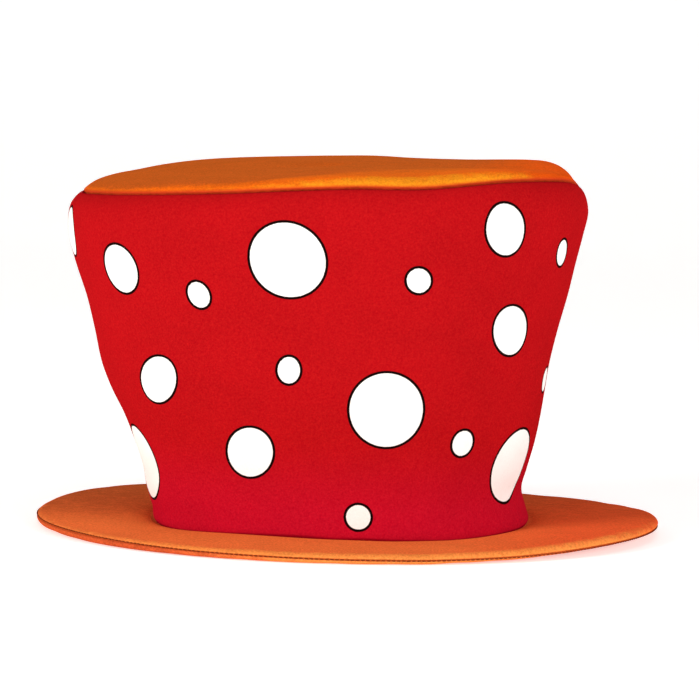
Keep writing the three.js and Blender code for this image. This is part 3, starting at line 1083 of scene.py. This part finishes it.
# The seam's place on the edge in degrees, then painted light: the highlight over and under the
# seam, and the lit share, low at the back of the brim as painted shade behind the crown.
EDGE_SEAM_ROLL = [
    {"turn": 0, "angle": -35, "painted_highlight": 0.2, "under": 0.2, "painted_light": 0.7},
    {"turn": 60, "angle": -10, "painted_highlight": 0.4, "under": 0.3, "painted_light": 0.3},
    {"turn": 120, "angle": 5, "painted_highlight": 0.4, "under": 0.3, "painted_light": 0.3},
    {"turn": 170, "angle": 15, "painted_highlight": 0.2, "under": 0.1, "painted_light": 0.35},
    {"turn": 205, "angle": 42, "painted_highlight": 0.4, "under": 0.0, "painted_light": 1.0},
    {"turn": 235, "angle": 18, "painted_highlight": 0.75, "under": 0.1, "painted_light": 1.0},
    {"turn": 265, "angle": 0, "painted_highlight": 1.0, "under": 0.9, "painted_light": 1.0},
    {"turn": 290, "angle": -14, "painted_highlight": 1.0, "under": 0.9, "painted_light": 1.0},
    {"turn": 320, "angle": -40, "painted_highlight": 1.0, "under": 0.3, "painted_light": 1.0},
    {"turn": 343, "angle": -42, "painted_highlight": 0.6, "under": 0.2, "painted_light": 0.95},
]


def brim_place(turn, out, height):
    shift = CROWN_SHIFT * (1 - np.minimum(out / brim_flat(turn), 1))
    reach = head_reach(turn) + out
    return np.stack((shift + reach * np.cos(turn), reach * np.sin(turn), height), -1)


def brim_edge_row(turn, degrees, proud=0.0):
    """A ring on the rounded edge. 0 degrees is the seam, proud stands out from it."""
    groove = EDGE_GROOVE * math.exp(-((degrees / EDGE_GROOVE_ANGLE) ** 2))
    radius = BRIM_THICKNESS / 2 - groove + proud
    seam = along_seam(EDGE_SEAM_ROLL, turn, "angle")
    angle = np.radians(seam + degrees * (1 - np.sign(degrees) * seam / 90))
    out = brim_flat(turn) + radius * np.cos(angle)
    height = brim_underside(turn, 1) + BRIM_THICKNESS / 2 + radius * np.sin(angle)
    return brim_place(turn, out, height)


print("the edge seam stands at", round(float(brim_edge_row(math.pi, 0)[2]), 1), "mm at the left")

# %% Brim
BRIM_COLUMNS = 320
BRIM_FACE_SHARES = (
    0.0, 0.035, 0.065, 0.085, 0.11, 0.15, 0.2, 0.28,
    0.37, 0.47, 0.57, 0.67, 0.77, 0.86, 0.94,
)
SQUEEZED_SHARE = 0.08
EDGE_ANGLES = (-90, -74, -58, -42, -28, -17, -9, 0, 9, 17, 28, 42, 58, 74, 90)


def even_turns():
    return np.arange(BRIM_COLUMNS) / BRIM_COLUMNS * 2 * math.pi


def brim():
    turn = even_turns()
    flat = brim_flat(turn)
    lower = [brim_place(turn, flat * out, brim_underside(turn, out)) for out in BRIM_FACE_SHARES]
    upper = [brim_place(turn, flat * out, brim_upper(turn, out)) for out in BRIM_FACE_SHARES]
    edge = [brim_edge_row(turn, degrees) for degrees in EDGE_ANGLES]
    rows = np.stack(lower + edge + upper[::-1])
    piece = make_skin("brim_pad", rows, ring_faces(len(rows), len(turn)), (BRIM_CLOTH,))
    seam_row = len(lower) + EDGE_ANGLES.index(0)
    squeezed = sum(out < SQUEEZED_SHARE for out in BRIM_FACE_SHARES)
    row = np.repeat(np.arange(len(rows)), len(turn))
    last = len(rows) - 1
    held = np.where(np.abs(row - seam_row) <= 1, 1.0, 0.0)
    held = np.where((row < squeezed) | (row > last - squeezed), 1.0, held)
    return piece, held, rows[seam_row]


brim_pad, brim_held, edge_seam = brim()
puff(brim_pad, brim_held, pressure=1.5, cap_mm=0.8, rounds=6, floor_mm=0)
smooth_once(brim_pad)
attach(brim_pad, "root")
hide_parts("brim")
print("brim:", len(brim_pad.data.polygons), "faces")

# %% Colour shares on the brim
EDGE_HIGHLIGHT_WIDE = 7.5
RUDDY_UNDER_SHADE = 0.5


def store_brim_shares(piece, seam_line):
    points = points_of(piece)
    turn = np.arctan2(points[:, 1], points[:, 0])
    from_seam = distance_to_loop(points, seam_line)
    is_under = points[:, 2] < brim_edge_row(turn, 0)[:, 2]
    # Painted highlight along the edge seam, on its upper and lower side.
    over_highlight = along_seam(EDGE_SEAM_ROLL, turn, "painted_highlight")
    under_highlight = along_seam(EDGE_SEAM_ROLL, turn, "under")
    highlight_share = np.maximum(np.where(is_under, under_highlight, over_highlight), 0)
    # Painted light on the front of the brim; where the share is low, at the back behind the crown,
    # the shaded orange stays as painted shade.
    painted_light = np.clip(along_seam(EDGE_SEAM_ROLL, turn, "painted_light"), 0, 1)
    # Under the edge seam, away from the highlight, the orange is redder and darker as painted
    # shade.
    ruddy = np.where(is_under, RUDDY_UNDER_SHADE * (1 - highlight_share), ruddy_share(points))
    store(piece, "seam_distance", from_seam)
    store(piece, "painted_highlight", highlight_share * fade(from_seam, EDGE_HIGHLIGHT_WIDE))
    store(piece, "painted_light", np.where(is_under, painted_light * highlight_share, painted_light))
    store(piece, "ruddy", ruddy)
    print("gold reaches", round(float(highlight_share.max()), 2), "beside the brim's seam")


store_brim_shares(brim_pad, edge_seam)

# %% [markdown]
# ## The stitches
#
# A fine row of stitches shows in the seam round the brim, as short dark dashes. Dashes
# drawn by the material would be flat, so each stitch is a small bowed tube whose ends
# dive into the cloth. Hundreds of separate curves would be slow to handle, so a row is
# one mesh. A wider row whips the side to the brim inside the head opening, where only
# the wearer sees it.

# %% One thread for each stitch
STITCH_SIDES = 6
THREAD_SHAPE = [
    {"along": -0.5, "lift": -1.2, "thick": 0.7},
    {"along": -0.34, "lift": 0.1, "thick": 1.0},
    {"along": 0.0, "lift": 0.35, "thick": 1.0},
    {"along": 0.34, "lift": 0.1, "thick": 1.0},
    {"along": 0.5, "lift": -1.2, "thick": 0.7},
]


def loop_places(loop, outer_loop, pitch):
    """Even places round a closed loop: points, directions along it and outwards."""
    steps = np.linalg.norm(np.roll(loop, -1, axis=0) - loop, axis=1)
    run = np.concatenate(((0,), np.cumsum(steps)))
    count = int(run[-1] / pitch)
    wanted = np.arange(count) * run[-1] / count

    def along(points, at):
        closed = np.vstack((points, points[:1]))
        return np.stack([np.interp(at, run, closed[:, axis]) for axis in range(3)], -1)

    points = along(loop, wanted)
    ahead = along(loop, wanted + pitch / 4)
    return points, unit(ahead - points), unit(along(outer_loop, wanted) - points)


def threads(name, middles, directions, outward, length, radius):
    """One object of many bowed threads, each along its own direction."""
    side = unit(np.cross(directions, outward))
    angles = np.arange(STITCH_SIDES) / STITCH_SIDES * 2 * math.pi
    rows = []
    for station in THREAD_SHAPE:
        size = station["thick"] * radius
        lift = station["lift"] * radius
        centre = middles + directions * station["along"] * length + outward * lift
        for angle in angles:
            rows.append(centre + outward * math.cos(angle) * size + side * math.sin(angle) * size)
    points = np.stack(rows, 1)
    tube = ring_faces(len(THREAD_SHAPE), STITCH_SIDES, closed=False)[:, ::-1]
    each = np.arange(len(middles))[:, None, None] * points.shape[1]
    piece = make_skin(name, points, (tube[None] + each).reshape(-1, 4), (SEWING_THREAD,))
    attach(piece, "root")
    print(name, len(middles), "stitches,", len(piece.data.polygons), "faces")
    return piece


# %% Stitches round the brim's edge
STITCH_PITCH = 2.6
STITCH_LENGTH = 1.8
STITCH_RADIUS = 0.27
STITCH_PROUD = 1.15
OUTSIDE_PROUD = 2

edge_line = brim_edge_row(even_turns(), 0, proud=STITCH_PROUD)
edge_outside = brim_edge_row(even_turns(), 0, proud=OUTSIDE_PROUD)
edge_places = loop_places(edge_line, edge_outside, STITCH_PITCH)
threads("brim_edge_stitches", *edge_places, STITCH_LENGTH, STITCH_RADIUS)

# %% Whip stitches inside the head opening
WHIP_PITCH = 4.2
WHIP_HEIGHT = 4.2
WHIP_RADIUS = 0.3
WHIP_INSET = -0.1
WHIP_INSIDE = -1.0
WHIP_SLANT = {"along": 0.5, "up": 0.87}


def opening_stitches():
    turn = even_turns()
    height = brim_upper(turn, 0) + SEWN_GAP / 2
    joint = brim_place(turn, np.full_like(turn, WHIP_INSET), height)
    inside = brim_place(turn, np.full_like(turn, WHIP_INSIDE), height)
    middles, directions, outward = loop_places(joint, inside, WHIP_PITCH)
    slanted = unit(directions * WHIP_SLANT["along"] + np.array((0, 0, WHIP_SLANT["up"])))
    return threads("opening_stitches", middles, slanted, outward, WHIP_HEIGHT, WHIP_RADIUS)


opening_stitches()

# %% [markdown]
# ## Floor, light and camera
#
# The photograph was taken from the side and a little above the brim, from far enough
# away that the hat hardly shows perspective. Broad lights stand low in front, so the
# upright cloth is bright and the level cloth of the top and brim is darker.

# %% Floor and backdrop
BACKDROP = {"half_wide": 4.0, "near": -3.2, "back": 2.6, "radius": 1.2, "top": 4.0}
BACKDROP_BEND_STEPS = 12
FLOOR_BELOW = 0.0003  # keeps the floor from touching the brim, in metres
PAPER = (0.92, 0.92, 0.92, 1)
PAPER_GLOW = 0.47


def backdrop():
    """A pale floor that curves up behind the hat."""
    back = BACKDROP["back"]
    radius = BACKDROP["radius"]
    profile = [(BACKDROP["near"], 0.0), (0.0, 0.0), (back, 0.0)]
    for step in range(1, BACKDROP_BEND_STEPS + 1):
        angle = step / BACKDROP_BEND_STEPS * math.pi / 2
        profile.append((back + radius * math.sin(angle), radius * (1 - math.cos(angle))))
    profile.append((back + radius, BACKDROP["top"]))
    half = BACKDROP["half_wide"]
    points = [(x * half, y, z - FLOOR_BELOW) for y, z in profile for x in (-1, 1)]
    faces = [(2 * i, 2 * i + 1, 2 * i + 3, 2 * i + 2) for i in range(len(profile) - 1)]
    mesh = bpy.data.meshes.new("backdrop")
    mesh.from_pydata(points, [], faces)
    mesh.polygons.foreach_set("use_smooth", [True] * len(faces))
    material = bpy.data.materials.new("paper")
    material.use_nodes = True
    shader = material.node_tree.nodes["Principled BSDF"]
    shader.inputs["Base Color"].default_value = PAPER
    shader.inputs["Roughness"].default_value = 0.9
    shader.inputs["Emission Color"].default_value = (1, 1, 1, 1)
    shader.inputs["Emission Strength"].default_value = PAPER_GLOW
    mesh.materials.append(material)
    made = bpy.data.objects.new("backdrop", mesh)
    bpy.context.scene.collection.objects.link(made)
    return made


backdrop()
print("floor and backdrop,", BACKDROP["half_wide"] * 2, "m wide")

# %% Lights
WARM = (1, 0.94, 0.87)
ROSY = (1, 0.94, 0.91)
CREAM = (1, 0.97, 0.94)
PLAIN = (1, 1, 1)
LIGHTS = [
    {"name": "front_left", "at": (-2.45, -1.7, 1.02), "size": 1.2, "watts": 80, "tint": WARM},
    {"name": "front_right", "at": (2.3, -1.7, 0.95), "size": 1.1, "watts": 55, "tint": ROSY},
    {"name": "front", "at": (0.1, -3.0, 0.5), "size": 1.2, "watts": 10, "tint": PLAIN},
    {"name": "above", "at": (0.1, -0.8, 2.6), "size": 1.5, "watts": 11, "tint": CREAM},
]
AIM = Vector((0, 0, 0.1))

for row in LIGHTS:
    light = bpy.data.lights.new(row["name"], "AREA")
    light.energy = row["watts"]
    light.size = row["size"]
    light.color = row["tint"]
    lamp = bpy.data.objects.new(row["name"], light)
    lamp.location = row["at"]
    lamp.rotation_euler = (AIM - lamp.location).to_track_quat("-Z", "Y").to_euler()
    bpy.context.scene.collection.objects.link(lamp)
    print(row["name"], row["watts"], "W")

# %% World
WORLD_LIGHT = 0.12

world = bpy.data.worlds.new("studio")
world.use_nodes = True
world.node_tree.nodes["Background"].inputs["Color"].default_value = (1, 1, 1, 1)
world.node_tree.nodes["Background"].inputs["Strength"].default_value = WORLD_LIGHT
bpy.context.scene.world = world
bpy.context.scene.view_settings.view_transform = "Standard"
print("world light", WORLD_LIGHT)

# %% Camera
CAMERA_AT = Vector((-0.00053, -2.25, 0.292))
CAMERA_AIM = Vector((-0.00053, 0, 0.095))
CAMERA_ROLL = math.radians(1.2)
CAMERA_LENS = 216.5

camera = bpy.data.objects.new("camera", bpy.data.cameras.new("camera"))
camera.data.lens = CAMERA_LENS
camera.data.sensor_width = 36
camera.data.clip_end = 50
camera.location = CAMERA_AT
camera.rotation_euler = (CAMERA_AIM - CAMERA_AT).to_track_quat("-Z", "Y").to_euler()
camera.rotation_euler.rotate_axis("Z", CAMERA_ROLL)
bpy.context.scene.collection.objects.link(camera)
bpy.context.scene.camera = camera
print("camera", round((CAMERA_AT - CAMERA_AIM).length, 2), "m away, lens", CAMERA_LENS, "mm")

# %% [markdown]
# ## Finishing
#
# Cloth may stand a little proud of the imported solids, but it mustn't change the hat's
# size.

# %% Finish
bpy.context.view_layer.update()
